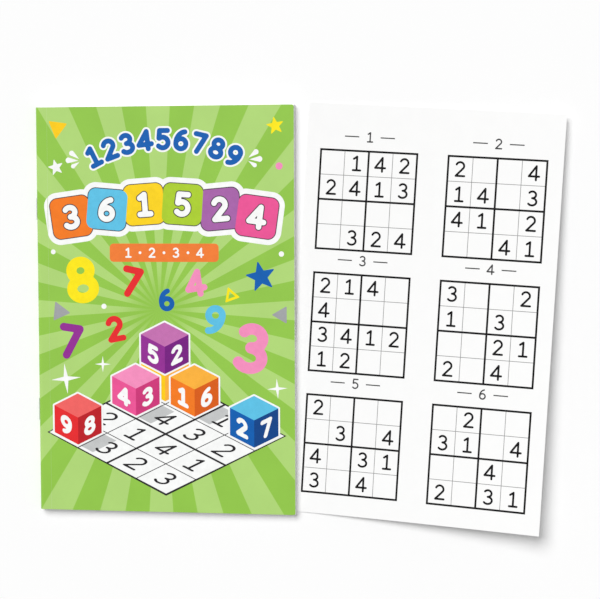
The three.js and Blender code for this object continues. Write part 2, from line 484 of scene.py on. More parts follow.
def point_grids(place, rows, columns, levels):
    """A grid of points for each level, where place gives the point for a row, a column and a level."""
    return [[[place(row, column, level) for column in columns] for row in rows] for level in levels]


def shell_piece(name, grids, materials, keep=None, smooth=False):
    """A closed thin shell between an inner and an outer grid of points, less the cells that keep refuses."""
    inner, outer = grids
    rows, columns = len(outer), len(outer[0])
    points = [point for grid in (outer, inner) for row in grid for point in row]
    size = rows * columns
    faces, slots = [], []

    def there(row, column):
        within = 0 <= row < rows - 1 and 0 <= column < columns - 1
        return within and (keep is None or keep(row, column))

    for row in range(rows - 1):
        for column in range(columns - 1):
            if not there(row, column):
                continue
            corner = row * columns + column
            ring = [corner, corner + 1, corner + columns + 1, corner + columns]
            faces += [ring, [size + index for index in reversed(ring)]]
            slots += [OUTSIDE, INSIDE]
            beside = ((row - 1, column), (row, column + 1), (row + 1, column), (row, column - 1))
            for first, second, neighbour in zip(ring, ring[1:] + ring[:1], beside):
                if not there(*neighbour):
                    faces.append([second, first, size + first, size + second])
                    slots.append(RIM)
    mesh = tidy_mesh(new_mesh(name, points, faces, materials, slots))
    if smooth:
        mesh.shade_smooth()
        mesh.set_sharp_from_angle(angle=SHARP_ANGLE)
    return new_object(name, mesh)


# Places on the book
def on_front(along, height, radius):
    """A point of the leaning front half: along from the fold axis, radius from it."""
    return Vector((FOLD_X + along * math.cos(FRONT_LEAN) + radius * math.sin(FRONT_LEAN), height,
                   FOLD_Z - along * math.sin(FRONT_LEAN) + radius * math.cos(FRONT_LEAN)))


def on_back(along, height, radius):
    """A point of the flat back half, radius below the fold axis."""
    return Vector((FOLD_X + along, height, FOLD_Z - radius))


def on_fold(turn, height, radius):
    """A point of a fold, from the back half at no turn round to the front half."""
    return Vector((FOLD_X - radius * math.sin(turn), height, FOLD_Z - radius * math.cos(turn)))


def leaf_size():
    """Width of the torn-out leaf, and the height of its tail corner in the frame."""
    turn = bpy.context.scene.puzzle_leaf.turn
    width = (LEAF_HIGH.x - LEAF_LOW.x + TRIM_HEIGHT * math.sin(turn)) / math.cos(turn)
    return width, LEAF_HIGH.y - TRIM_HEIGHT * math.cos(turn)


def on_leaf(along, up, lift):
    """A point of the torn-out leaf: along from its torn edge, up from its tail, lift above its underside."""
    leaf = bpy.context.scene.puzzle_leaf
    width, corner_y = leaf_size()
    share = max(0.0, along - leaf.flat) / (width - leaf.flat)
    rise = share ** leaf.bend * (leaf.lift_tail + (leaf.lift_head - leaf.lift_tail) * up / TRIM_HEIGHT)
    cosine, sine = math.cos(leaf.turn), math.sin(leaf.turn)
    return Vector((LEAF_LOW.x + along * cosine - up * sine, corner_y + along * sine + up * cosine,
                   LEAF_LOW.z + rise + lift))


# Outlines of flat printed shapes
def arc(centre, radii, start, end, count=18):
    """Points of an elliptical arc, with its angles in degrees."""
    angles = [math.radians(angle) for angle in steps(start, end, count)]
    return [(centre[0] + radii[0] * math.cos(angle), centre[1] + radii[1] * math.sin(angle))
            for angle in angles]


NUMERAL_STROKES = {
    0: [arc((0.0, 0.5), (0.3, 0.5), 0, 360, 40)],
    1: [[(-0.2, 0.83), (0.04, 1.0), (0.04, 0.0)], [(-0.24, 0.0), (0.32, 0.0)]],
    2: [arc((-0.01, 0.72), (0.29, 0.28), 158, -28) + [(-0.31, 0.0), (0.33, 0.0)]],
    3: [arc((-0.03, 0.76), (0.27, 0.24), 145, -90), arc((-0.03, 0.26), (0.32, 0.26), 90, -145)],
    4: [[(0.15, 0.0), (0.15, 1.0), (-0.38, 0.26), (0.37, 0.26)]],
    5: [[(0.27, 1.0), (-0.2, 1.0), (-0.24, 0.56)] + arc((-0.02, 0.31), (0.32, 0.31), 128, -140)],
    6: [arc((0.0, 0.29), (0.3, 0.29), 0, 360, 32), arc((0.24, 0.36), (0.54, 0.64), 180, 98)],
    7: [[(-0.3, 1.0), (0.31, 1.0), (-0.06, 0.0)]],
    8: [arc((0.0, 0.76), (0.26, 0.24), 0, 360, 32), arc((0.0, 0.26), (0.31, 0.26), 0, 360, 32)],
    9: [arc((0.0, 0.71), (0.3, 0.29), 0, 360, 32), arc((-0.24, 0.64), (0.54, 0.64), 0, -82)],
}

# Half a stroke's width as a share of the number's height
STROKE = {"cell": 0.066, "heading": 0.068, "loose": 0.112, "tile": 0.11, "arch": 0.115, "bar": 0.085}

# Sides that an outline goes in and out by, for each set of a cell's corners inside it
CELL_PATHS = {1: "bl", 2: "rb", 3: "rl", 4: "tr", 5: "bl tr", 6: "tb", 7: "tl", 8: "lt", 9: "bt",
              10: "rb lt", 11: "rt", 12: "lr", 13: "br", 14: "lb"}
NUMERAL_CELLS = 44
OUTLINE_CELLS = 60
STRAIGHT_SHARE = 0.04
LONGEST_STEP = 3 * MM


def stroke_distance(grid, strokes):
    """Distance of each grid point from a set of strokes."""
    nearest = np.full(len(grid), np.inf)
    for stroke in strokes:
        for first, second in zip(stroke, stroke[1:]):
            first, second = np.array(first), np.array(second)
            span = second - first
            share = np.clip((grid - first) @ span / max(span @ span, 1e-18), 0, 1)
            nearest = np.minimum(nearest, np.linalg.norm(grid - first - share[:, None] * span, axis=1))
    return nearest


def outline_distance(grid, corners):
    """Distance of each grid point from a closed outline, below nought inside it."""
    closed = [*corners, corners[0]]
    inside = np.zeros(len(grid), bool)
    for (x0, y0), (x1, y1) in zip(closed, closed[1:]):
        spans = (y0 > grid[:, 1]) != (y1 > grid[:, 1])
        with np.errstate(divide="ignore", invalid="ignore"):
            crossing = (x1 - x0) * (grid[:, 1] - y0) / (y1 - y0) + x0
        inside ^= spans & (grid[:, 0] < crossing)
    distance = stroke_distance(grid, [closed])
    return np.where(inside, -distance, distance)


def contour(distance, points, level, cell):
    """Closed loops round all that lies nearer than level, traced on a square grid of cells."""
    low = np.min(points, axis=0) - level - 2 * cell
    high = np.max(points, axis=0) + level + 2 * cell
    columns, rows = np.ceil((high - low) / cell).astype(int) + 1
    xs, ys = np.meshgrid(low[0] + np.arange(columns) * cell, low[1] + np.arange(rows) * cell)
    field = distance(np.stack([xs.ravel(), ys.ravel()], axis=1)).reshape(rows, columns) - level
    inside = (field < 0).astype(int)
    codes = inside[:-1, :-1] + 2 * inside[:-1, 1:] + 4 * inside[1:, 1:] + 8 * inside[1:, :-1]
    follow = {}
    for row, column in np.argwhere((codes > 0) & (codes < 15)).tolist():
        sides = {"b": (row, column, False), "t": (row + 1, column, False),
                 "l": (row, column, True), "r": (row, column + 1, True)}
        for path in CELL_PATHS[int(codes[row, column])].split():
            follow[sides[path[0]]] = sides[path[1]]

    def crossing(row, column, upright):
        """Where the outline crosses one side of a cell."""
        first = field[row, column]
        second = field[row + 1, column] if upright else field[row, column + 1]
        share = first / (first - second)
        return (low[0] + (column + (0 if upright else share)) * cell,
                low[1] + (row + (share if upright else 0)) * cell)

    loops = []
    while follow:
        start, here = follow.popitem()
        ring = [start]
        while here != start:
            ring.append(here)
            here = follow.pop(here)
        loops.append(drop_straight([crossing(*side) for side in ring], cell * STRAIGHT_SHARE))
    return loops


def drop_straight(loop, tolerance):
    """The loop without the points on the line between their neighbours, where the step stays short."""
    kept = [loop[0]]
    for index in range(1, len(loop)):
        here, after = Vector(loop[index]), Vector(loop[(index + 1) % len(loop)])
        before = Vector(kept[-1])
        along = after - before
        off = abs((here - before).cross(along)) / max(along.length, 1e-12)
        if off > tolerance or (here - before).length > LONGEST_STEP:
            kept.append(loop[index])
    return kept


def numeral_loops(digit, height, half_width, grow=0.0):
    """Outline of a round-ended number of that height, standing about its own middle."""
    inner = height - 2 * half_width
    strokes = [[(x * inner, (y - 0.5) * inner) for x, y in stroke] for stroke in NUMERAL_STROKES[digit]]
    points = [point for stroke in strokes for point in stroke]
    return contour(lambda grid: stroke_distance(grid, strokes), points, half_width + grow,
                   height / NUMERAL_CELLS)


def soft_outline(corners, grow):
    """A closed outline grown by that much, with its corners rounded to match."""
    spread = np.ptp(np.array(corners), axis=0).max()
    return contour(lambda grid: outline_distance(grid, corners), corners, grow, spread / OUTLINE_CELLS)


def star_corners(points, outer, inner):
    turns = [math.pi * index / points for index in range(2 * points)]
    return [(radius * math.sin(turn), radius * math.cos(turn))
            for radius, turn in zip((outer, inner) * points, turns)]


def box_corners(width, height):
    return [(x * width / 2, y * height / 2) for x, y in ((-1, -1), (1, -1), (1, 1), (-1, 1))]


def disc(radius, count=40):
    return [arc((0, 0), (radius, radius), 0, 360 - 360 / count, count - 1)]


def pushed_out(corners, grow):
    """Corners pushed out from their common middle."""
    middle = np.mean(corners, axis=0)
    spokes = [np.array(corner) - middle for corner in corners]
    return [tuple(middle + spoke * (1 + grow / np.linalg.norm(spoke))) for spoke in spokes]


def skewed(loops, place, across, up):
    """Loops laid on a slanting face, with its two edge directions."""
    return [[(place[0] + x * across[0] + y * up[0], place[1] + x * across[1] + y * up[1]) for x, y in loop]
            for loop in loops]


def moved(loops, place, turn=0.0, scale=1.0):
    """Loops turned by degrees, scaled and moved."""
    cosine, sine = math.cos(math.radians(turn)) * scale, math.sin(math.radians(turn)) * scale
    return skewed(loops, place, (cosine, sine), (-sine, cosine))


# Print
class PrintedFace:
    """Flat ink shapes of one printed face, gathered before they are laid on it."""
    STEP = 0.012 * MM

    def __init__(self):
        self.points, self.faces, self.slots, self.inks = [], [], [], []

    def ink_slot(self, ink):
        if ink not in self.inks:
            self.inks.append(ink)
        return self.inks.index(ink)

    def add(self, ink, loops, layer=0):
        """Fills the loops with that ink. Inner loops are holes."""
        lift = self.STEP * (1 + layer)
        slot = self.ink_slot(ink)
        rings = [[Vector((x, y, 0)) for x, y in loop] for loop in loops]
        first = len(self.points)
        self.points += [(point.x, point.y, lift) for ring in rings for point in ring]
        for corners in tessellate_polygon(rings):
            (ax, ay, _), (bx, by, _), (cx, cy, _) = (self.points[first + corner] for corner in corners)
            turned = (bx - ax) * (cy - ay) - (by - ay) * (cx - ax)
            self.faces.append([first + corner for corner in (corners if turned > 0 else reversed(corners))])
            self.slots.append(slot)

    def take(self, mesh):
        """Adds a flat mesh that nodes have made, with its own inks."""
        first = len(self.points)
        self.points += [tuple(vert.co) for vert in mesh.vertices]
        for face in mesh.polygons:
            self.faces.append([first + index for index in face.vertices])
            self.slots.append(self.ink_slot(mesh.materials[face.material_index].name))

    def narrow(self, share):
        """Squeezes the whole print across."""
        self.points = [(x * share, y, lift) for x, y, lift in self.points]

    def lay(self, name, place, right_of=None, left_of=None):
        """A piece with the shapes on a face, where place gives the point for across, up and lift."""
        inks = [bpy.data.materials[ink] for ink in self.inks]
        mesh = new_mesh(name, self.points, self.faces, inks, self.slots)
        for line, side in ((right_of, 1), (left_of, -1)):
            if line is not None:
                cut_flat(mesh, line, side)
        set_out(mesh, place)
        mesh.update()
        return new_object(name, mesh)


def cut_flat(mesh, line, side):
    """Keeps the part of a flat mesh on one side of an upright line."""
    work = bmesh.new()
    work.from_mesh(mesh)
    everything = [*work.verts, *work.edges, *work.faces]
    bmesh.ops.bisect_plane(work, geom=everything, dist=1e-7, plane_co=(line, 0, 0), plane_no=(side, 0, 0),
                           clear_inner=True)
    work.to_mesh(mesh)
    work.free()


# Node trees for what repeats
RULE_POINTS = 27
UPRIGHT_LIFT = 0.003 * MM
TOOTH_LENGTHS = (0.45, 1.0)
TOOTH_WIDTH = 0.6


def start_tree(name, **inputs):
    """A new geometry tree with named inputs of each kind. Returns it, its inputs and its output node."""
    tree = bpy.data.node_groups.new(name, "GeometryNodeTree")
    for kind, labels in inputs.items():
        for label in labels:
            tree.interface.new_socket(label, in_out="INPUT", socket_type=f"NodeSocket{kind}")
    tree.interface.new_socket("Geometry", in_out="OUTPUT", socket_type="NodeSocketGeometry")
    return tree, add_node(tree, "NodeGroupInput").outputs, add_node(tree, "NodeGroupOutput")


def end_tree(tree, geometry, material, output):
    real = add_node(tree, "GeometryNodeRealizeInstances", {"Geometry": geometry})
    painted = add_node(tree, "GeometryNodeSetMaterial", {"Geometry": real.outputs[0], "Material": material})
    set_inputs(tree, output, {0: painted.outputs[0]})
    return tree


def line_node(tree, count, start, offset):
    """Points in a row up the page."""
    inputs = {"Count": count, "Start Location": start, "Offset": vector_node(tree, y=offset)}
    return add_node(tree, "GeometryNodeMeshLine", inputs, mode="OFFSET").outputs[0]


def on_points(tree, points, instance, inputs=None):
    """A copy of the instance on each point."""
    node = add_node(tree, "GeometryNodeInstanceOnPoints", {"Points": points, "Instance": instance})
    set_inputs(tree, node, inputs or {})
    return node.outputs[0]


def grid_rules_tree():
    """Parallel rules of one kind, both ways, in every puzzle grid of a page."""
    tree, given, output = start_tree(
        "grid_rules", Int=("Rules", "Columns", "Rows"), Material=("Ink",),
        Float=("First", "Spacing", "Side", "Width", "Lift", "Page width", "Page height"))
    rule = add_node(tree, "GeometryNodeMeshGrid", {
        "Size X": math_node(tree, "ADD", given["Side"], given["Width"]), "Size Y": given["Width"],
        "Vertices X": RULE_POINTS, "Vertices Y": 2}).outputs[0]
    start = vector_node(tree, y=given["First"], z=given["Lift"])
    level = on_points(tree, line_node(tree, given["Rules"], start, given["Spacing"]), rule)
    upright = add_node(tree, "GeometryNodeTransform", {
        "Geometry": level, "Rotation": (0, 0, math.pi / 2), "Translation": (0, 0, UPRIGHT_LIFT)}).outputs[0]
    both = add_node(tree, "GeometryNodeJoinGeometry")
    for rules in (level, upright):
        set_inputs(tree, both, {0: rules})
    page = add_node(tree, "GeometryNodeMeshGrid", {
        "Size X": given["Page width"], "Size Y": given["Page height"],
        "Vertices X": given["Columns"], "Vertices Y": given["Rows"]}).outputs[0]
    return end_tree(tree, on_points(tree, page, both.outputs[0]), given["Ink"], output)


def numerals_tree():
    """Numbers on points: each point's digit picks its number."""
    tree, given, output = start_tree(
        "numerals_on_cells", Geometry=("Geometry",), Collection=("Numbers",), Float=("Scale",),
        Material=("Ink",))
    numbers = add_node(tree, "GeometryNodeCollectionInfo", {
        "Collection": given["Numbers"], "Separate Children": True, "Reset Children": True}).outputs[0]
    digit = add_node(tree, "GeometryNodeInputNamedAttribute", {"Name": "digit"}, data_type="INT").outputs[0]
    placed = on_points(tree, given["Geometry"], numbers, {
        "Pick Instance": True, "Instance Index": digit, "Scale": given["Scale"]})
    return end_tree(tree, placed, given["Ink"], output)


def torn_teeth_tree():
    """A row of torn paper teeth of uneven length along a perforation."""
    tree, given, output = start_tree(
        "torn_teeth", Int=("Count", "Seed"), Float=("Start", "Pitch", "Depth", "Thickness"),
        Material=("Paper",))
    row = line_node(tree, given["Count"], vector_node(tree, y=given["Start"]), given["Pitch"])
    cube = add_node(tree, "GeometryNodeMeshCube", {"Size": (1, 1, 1)}).outputs[0]
    tooth = add_node(tree, "GeometryNodeTransform", {
        "Geometry": cube, "Translation": (-0.5, 0, 0.5)}).outputs[0]
    uneven = add_node(tree, "FunctionNodeRandomValue", {
        2: TOOTH_LENGTHS[0], 3: TOOTH_LENGTHS[1], "Seed": given["Seed"]}, data_type="FLOAT").outputs[1]
    size = vector_node(tree, math_node(tree, "MULTIPLY", given["Depth"], uneven),
                       math_node(tree, "MULTIPLY", given["Pitch"], TOOTH_WIDTH), given["Thickness"])
    return end_tree(tree, on_points(tree, row, tooth, {"Scale": size}), given["Paper"], output)


def grown_mesh(name, make, settings, base=None):
    """The plain mesh that a tree gives with these inputs. The tree is made when it is first asked for."""
    tree = bpy.data.node_groups.get(name) or make()
    maker = new_object("node_maker", base or bpy.data.meshes.new("node_maker"))
    modifier = maker.modifiers.new("nodes", "NODES")
    modifier.node_group = tree
    for item in tree.interface.items_tree:
        if item.in_out == "INPUT" and item.name in settings:
            modifier[item.identifier] = settings[item.name]
    graph = bpy.context.evaluated_depsgraph_get()
    mesh = bpy.data.meshes.new_from_object(maker.evaluated_get(graph), depsgraph=graph)
    maker.modifiers.remove(modifier)
    bpy.data.objects.remove(maker)
    return mesh


# Puzzles
DIGITS = (1, 2, 3, 4)
CELLS = [(row, column) for row in range(4) for column in range(4)]
SOLVED_PATTERN = ((0, 1, 2, 3), (2, 3, 0, 1), (1, 0, 3, 2), (3, 2, 1, 0))
PAGE_GIVENS = (10, 10, 10, 8, 8, 8)
LESSON_GIVENS = 8


def allowed(grid, row, column):
    """Numbers that may stand in one cell of a four by four grid."""
    used = set(grid[row]) | {line[column] for line in grid}
    top, left = row // 2 * 2, column // 2 * 2
    used |= {grid[r][c] for r in (top, top + 1) for c in (left, left + 1)}
    return [digit for digit in DIGITS if digit not in used]


def solutions(grid):
    """How many ways a grid can be filled."""
    for row, column in CELLS:
        if grid[row][column] == 0:
            total = 0
            for digit in allowed(grid, row, column):
                grid[row][column] = digit
                total += solutions(grid)
                grid[row][column] = 0
            return total
    return 1


def new_puzzle(dice, givens):
    """A puzzle with one solution and about that many given numbers, and its solution."""
    digits = dice.sample(DIGITS, 4)
    rows, columns = ([pair + offset for pair in dice.sample((0, 2), 2) for offset in dice.sample((0, 1), 2)]
                     for _ in range(2))
    grid = [[digits[SOLVED_PATTERN[row][column]] for column in columns] for row in rows]
    solved = [list(line) for line in grid]
    left = len(CELLS)
    for row, column in dice.sample(CELLS, len(CELLS)):
        if left <= givens:
            break
        digit, grid[row][column] = grid[row][column], 0
        if solutions(grid) == 1:
            left -= 1
        else:
            grid[row][column] = digit
    return grid, solved


# Printed pages
HAIR_LAYER = 0.6
FIGURE_ADVANCE = 0.8
DASH_SIZE = (1.4, 0.11)
DASH_PLACE = 1.35
DASH_PLACE_PER_FIGURE = 0.4
LESSON_SEED = 1
ARROW_ROUNDING = 0.1
ARROW_LIFT = 0.25

# Pages of puzzles: what each adds to the seed, and the number of its first puzzle
PUZZLE_PAGES = {"tear_out_leaf_print": (0, 1), "left_page_print": (2, 127), "right_page_print": (3, 133),
                "tear_out_leaf_back_print": (4, 7)}


def numeral_collection(name, height, stroke):
    """Flat meshes of the numbers nought to nine, kept out of the scene, for the node trees to place."""
    found = bpy.data.collections.get(name)
    if found:
        return found
    collection = bpy.data.collections.new(name)
    for digit in sorted(NUMERAL_STROKES):
        face = PrintedFace()
        face.STEP = 0.0
        face.add("page_ink_black", numeral_loops(digit, height, height * stroke))
        mesh = new_mesh(f"{name}_{digit}", face.points, face.faces)
        collection.objects.link(bpy.data.objects.new(f"{name}_{digit}", mesh))
    return collection


def cell_numerals():
    return numeral_collection("cell_numeral", bpy.context.scene.puzzle_pages.numeral, STROKE["cell"])


def numerals_mesh(numbers, collection, ink, scale=1.0):
    """Numbers at flat places, as one mesh."""
    places, digits = zip(*numbers)
    points = new_mesh("numeral_places", [(x, y, PrintedFace.STEP) for x, y in places], [])
    points.attributes.new("digit", "INT", "POINT").data.foreach_set("value", digits)
    settings = {"Numbers": collection, "Scale": scale, "Ink": page_ink(ink)}
    return grown_mesh("numerals_on_cells", numerals_tree, settings, points)


def grid_lines(face, side, columns, rows, pitches):
    """Thin and bold rules of all the puzzle grids on a page."""
    page = bpy.context.scene.puzzle_pages
    spread = {"Side": side, "Columns": columns, "Rows": rows, "Spacing": side / 2,
              "Page width": (columns - 1) * pitches[0], "Page height": (rows - 1) * pitches[1]}
    thin = {"Rules": 2, "First": -side / 4, "Width": page.hair, "Lift": face.STEP * HAIR_LAYER,
            "Ink": page_ink("page_ink_hairline")}
    bold = {"Rules": 3, "First": -side / 2, "Width": page.bold, "Lift": face.STEP,
            "Ink": page_ink("page_ink_black")}
    for rules in (thin, bold):
        face.take(grown_mesh("grid_rules", grid_rules_tree, {**spread, **rules}))


def grid_numbers(grid, middle, side):
    """Place and digit of each number in one grid."""
    return [((middle[0] + (column - 1.5) * side / 4, middle[1] - (row - 1.5) * side / 4), grid[row][column])
            for row, column in CELLS if grid[row][column]]


def heading_numbers(number, middle, advance):
    """Place and digit of each figure of a puzzle's own number."""
    digits = [int(figure) for figure in str(number)]
    return [((middle[0] + (index - (len(digits) - 1) / 2) * advance, middle[1]), digit)
            for index, digit in enumerate(digits)]


def puzzle_page(name, place):
    """The print of a page of six puzzles, laid where place puts each point from the middle of its grids."""
    page = bpy.context.scene.puzzle_pages
    face = PrintedFace()
    grid_lines(face, page.side, columns=2, rows=3, pitches=(page.column_pitch, page.row_pitch))
    step, first = PUZZLE_PAGES[name]
    dice = random.Random(page.seed + step)
    dash = [box_corners(*[page.heading * size for size in DASH_SIZE])]
    numbers, headings = [], []
    for index, givens in enumerate(PAGE_GIVENS):
        x, y = (index % 2 - 0.5) * page.column_pitch, (1 - index // 2) * page.row_pitch
        numbers += grid_numbers(new_puzzle(dice, givens)[0], (x, y), page.side)
        y += page.side / 2 + page.heading_rise
        figures = heading_numbers(first + index, (x, y), FIGURE_ADVANCE * page.heading)
        headings += figures
        reach = (DASH_PLACE + DASH_PLACE_PER_FIGURE * len(figures)) * page.heading
        for side in (-1, 1):
            face.add("page_ink_grey", moved(dash, (x + side * reach, y)))
    face.take(numerals_mesh(numbers, cell_numerals(), "page_ink_black"))
    small = numeral_collection("heading_numeral", page.heading, STROKE["heading"])
    face.take(numerals_mesh(headings, small, "page_ink_grey"))
    face.narrow(page.narrow)
    return face.lay(name, place)


def lesson_page(name, place):
    """The print of the first page: a puzzle, and below it the same puzzle solved, with an arrow between."""
    page = bpy.context.scene.puzzle_pages
    face = PrintedFace()
    side, half = page.lesson_side, page.lesson_pitch / 2
    grid_lines(face, side, columns=1, rows=2, pitches=(0, page.lesson_pitch))
    puzzle, solved = new_puzzle(random.Random(page.seed + LESSON_SEED), LESSON_GIVENS)
    found = [[0 if given else digit for given, digit in zip(*lines)] for lines in zip(puzzle, solved)]
    given = grid_numbers(puzzle, (0, half), side) + grid_numbers(puzzle, (0, -half), side)
    scale = side / page.side
    face.take(numerals_mesh(given, cell_numerals(), "page_ink_black", scale))
    face.take(numerals_mesh(grid_numbers(found, (0, -half), side), cell_numerals(), "page_ink_grey", scale))
    size = page.heading
    arrow = soft_outline(star_corners(3, size, size / 2), size * ARROW_ROUNDING)
    face.add("page_ink_grey", moved(arrow, (0, size * ARROW_LIFT), 180))
    face.narrow(page.narrow)
    return face.lay(name, place)


# Pieces
PANEL_CELLS = (10, 14)
STRIP_CELLS = 3
STRIP_GAP = 0.01 * MM
SPINE_TURNS = 28
FOLD_TURNS = 16
FOLD_CELLS = 12
WIDEST_SWING = 1.2
LEAF_CELLS = (56, 60)
STUB_TEETH_SEED = 11
LEAF_TEETH_SEED = 5


def finish_piece(piece, body, slot, *nodes):
    """Rides a piece on its body and hides the solids that it stands for. The finish that it is given is not
    used.
    """
    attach(piece, body)
    if nodes:
        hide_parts(*nodes)


def finish_fold(piece, radius, node):
    """Bakes a fold's place into its mesh and hides its solid."""
    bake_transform(piece)
    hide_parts(node)


def panel_piece(name, start, place):
    """A flat card panel from start along the cover to the fore edge, with its two free corners eased."""
    corner, half = bpy.context.scene.puzzle_cover.corner, TRIM_HEIGHT / 2
    alongs = steps(start, PANEL - corner, PANEL_CELLS[0]) + [PANEL]
    heights = [-half] + steps(corner - half, half - corner, PANEL_CELLS[1]) + [half]
    ease = corner * (1 - math.sqrt(0.5))

    def eased(along, height, radius):
        if along == PANEL and abs(height) == half:
            along -= ease
            height -= math.copysign(ease, height)
        return place(along, height, radius)

    return shell_piece(name, point_grids(eased, alongs, heights, COVER_RADII), cover_card())


def fold_piece(name, radius, wall, turns, materials):
    """The round fold of a sheet, with a hole at each staple leg."""
    half_hole = WIRE + bpy.context.scene.puzzle_wire.hole
    swing = min(half_hole / radius, WIDEST_SWING)
    turn_lines = sorted(steps(0, math.pi + FRONT_LEAN, turns) + [math.pi / 2 - swing, math.pi / 2 + swing])
    hole_edges = [leg + side * half_hole for leg in LEG_PLACES for side in (-1, 1)]
    height_lines = steps(-TRIM_HEIGHT / 2, TRIM_HEIGHT / 2, FOLD_CELLS) + hole_edges
    height_lines = sorted({round(height, 7) for height in height_lines})

    def keep(row, column):
        turn = (turn_lines[row] + turn_lines[row + 1]) / 2
        height = (height_lines[column] + height_lines[column + 1]) / 2
        return abs(turn - math.pi / 2) > swing or all(abs(height - leg) > half_hole for leg in LEG_PLACES)

    grids = point_grids(on_fold, turn_lines, height_lines, (radius, radius + wall))
    return shell_piece(name, grids, materials, keep, smooth=True)


def torn_teeth(name, seed, place):
    """Teeth along a torn edge, laid where place gives the point for out, up and lift."""
    leaf = bpy.context.scene.puzzle_leaf
    count = int(TRIM_HEIGHT / leaf.tooth_pitch)
    mesh = grown_mesh("torn_teeth", torn_teeth_tree, {
        "Count": count, "Start": -(count - 1) * leaf.tooth_pitch / 2, "Pitch": leaf.tooth_pitch,
        "Depth": leaf.tooth_depth, "Thickness": PAPER, "Seed": seed, "Paper": page_paper()})
    set_out(mesh, place)
    mesh.name = name
    return new_object(name, tidy_mesh(mesh))


class PUZZLEBOOK_OT_card_cover(bpy.types.Operator):
    """Makes the card cover: back panel, round spine, hinge strip and front panel"""
    bl_idname = "puzzle_book.card_cover"
    bl_label = "Card Cover"

    def execute(self, context):
        back = panel_piece("back_cover_card", 0.0, on_back)
        finish_piece(back, "book", "cover_card", "back_cover")
        front = panel_piece("front_cover_card", SCORE, on_front)
        finish_piece(front, "front_cover", "cover_card", "front_cover")
        alongs = steps(0, SCORE - STRIP_GAP, STRIP_CELLS)
        heights = steps(-TRIM_HEIGHT / 2, TRIM_HEIGHT / 2, PANEL_CELLS[1])
        grids = point_grids(on_front, alongs, heights, COVER_RADII)
        strip = shell_piece("front_hinge_card", grids, cover_card())
        finish_piece(strip, "front_leaf", "cover_card", "front_hinge_strip")
        spine = fold_piece("cover_spine_card", COVER_INNER, CARD, SPINE_TURNS, cover_card())
        finish_fold(spine, COVER_INNER, "cover_spine")
        return {"FINISHED"}


# Cover design, in millimetres and degrees from the middle of the cover
COVER_INKS = {
    "white": (250, 251, 250), "outline": (58, 50, 60), "orange": (243, 122, 28), "banner": (240, 125, 52),
    "sky": (93, 193, 229), "yellow": (250, 211, 22), "lime": (171, 206, 45), "purple": (166, 98, 168),
    "pink": (235, 84, 150), "blue": (0, 92, 174), "red": (229, 40, 44), "rose": (244, 143, 190),
    "plum": (146, 44, 146), "violet": (116, 24, 126), "lilac": (196, 112, 176), "grey": (161, 163, 166),
    "lemon": (253, 232, 16), "gold": (252, 204, 12), "coral": (240, 100, 98), "amber": (250, 178, 60),
    "rust": (216, 92, 16), "berry": (204, 54, 120), "navy": (0, 64, 132), "brick": (186, 24, 34),
    "shadow": (196, 198, 198), "black": (26, 24, 28),
}

# Layer that parts a shape from its neighbour, which may lie over it
OVERLAP = 0.5

ARCH_TURN = 6.65
ARCH_BORDER = 0.95

# White drops: the outline of one, the turn and size of each, and where they fly from on the right
DROP = [[(1.6, 0)] + arc((6.4, 0), (1.6, 1.45), -78, 78)]
DROPS = ((37, 1.0), (2, 1.08), (-33, 0.82))
DROPS_PLACE = (44.5, 79.5)

# Number tiles: digit, ink, across, up, turn
TILES = ((3, "orange", -50.5, 49.5, 8), (6, "sky", -30.8, 53.6, -5), (1, "yellow", -10.6, 56.2, 4),
         (5, "lime", 10.2, 56.2, -4), (2, "purple", 30.4, 53.6, 5), (4, "pink", 50.1, 49.5, -8))
TILE_SIDE = 21.5
TILE_CORNER = 4.0
TILE_LINE = 0.45
TILE_BORDER = 3.2
TILE_NUMBER = 0.62 * TILE_SIDE
TILE_NUMBER_LINE = 0.5

BAR_CORNER = 2.0
BAR_NUMBER = 5.4
BAR_PITCH = 13
BAR_DOT = 0.75

# Loose numbers: digit, ink, across, up, height, turn
LOOSE_NUMBERS = ((8, "lemon", -45, 16, 25, 8), (7, "red", -18, 15, 16.5, -12), (4, "rose", 17, 14.5, 15, 9),
                 (6, "blue", 1, 5.5, 12, 10), (3, "rose", 47, -20, 27, -9), (9, "sky", 27, -5, 16, -13),
                 (2, "red", -27, -10, 14, 11), (7, "plum", -52, -17, 19, -8))

# Loose shapes: kind, ink, across, up, size, turn
LOOSE_SHAPES = (("star", "lemon", 60, 97, 4.4, 10), ("star", "white", -58.6, 76, 4.0, 14),
                ("star", "blue", 52, 18, 7.6, 12), ("triangle", "gold", -57.6, 97, 5.2, 172),
                ("triangle", "grey", -57.4, -1, 5.2, 24), ("triangle", "grey", 63, -2, 4.6, 90),
                ("open", "lemon", 36, 8, 4.2, 20), ("dot", "rose", 62, 76, 1.9, 0),
                ("dot", "white", -33, 2, 1.4, 0), ("dot", "white", 63, 30, 1.4, 0),
                ("dot", "white", -60.6, 31, 1.3, 0), ("spark", "white", -54.4, -37, 8.2, 6),
                ("spark", "white", -34, -29, 4.4, 0), ("spark", "white", 60.5, -41, 5.4, 4))
STAR_WAIST = 0.42
STAR_ROUNDING = 0.05
SPARK_WAIST = 0.2
TRIANGLE_ROUNDING = 0.08
OPEN_SHARE = 0.55

# Number blocks: cell across and down the board, level, layer, top and side inks, and the two sides' numbers
BLOCKS = (
    (0, 0, 0, 5, ("lemon", "gold", "amber"), (8, 9)),
    (1, 0, 0, 8, ("amber", "orange", "rust"), (1, 6)),
    (0, 1, 0, 8.5, ("rose", "pink", "berry"), (4, 3)),
    (0, 0, 1, 7, ("lilac", "plum", "violet"), (5, 2)),
    (3, 0, 0, 8, ("sky", "blue", "navy"), (2, 7)),
    (0, 3, 0, 8, ("coral", "red", "brick"), (9, 8)),
)
BLOCK_SIZE = 13
BLOCK_HEIGHT = 14.6
BLOCK_BORDER = 0.9
SHADOW_REACH = 8

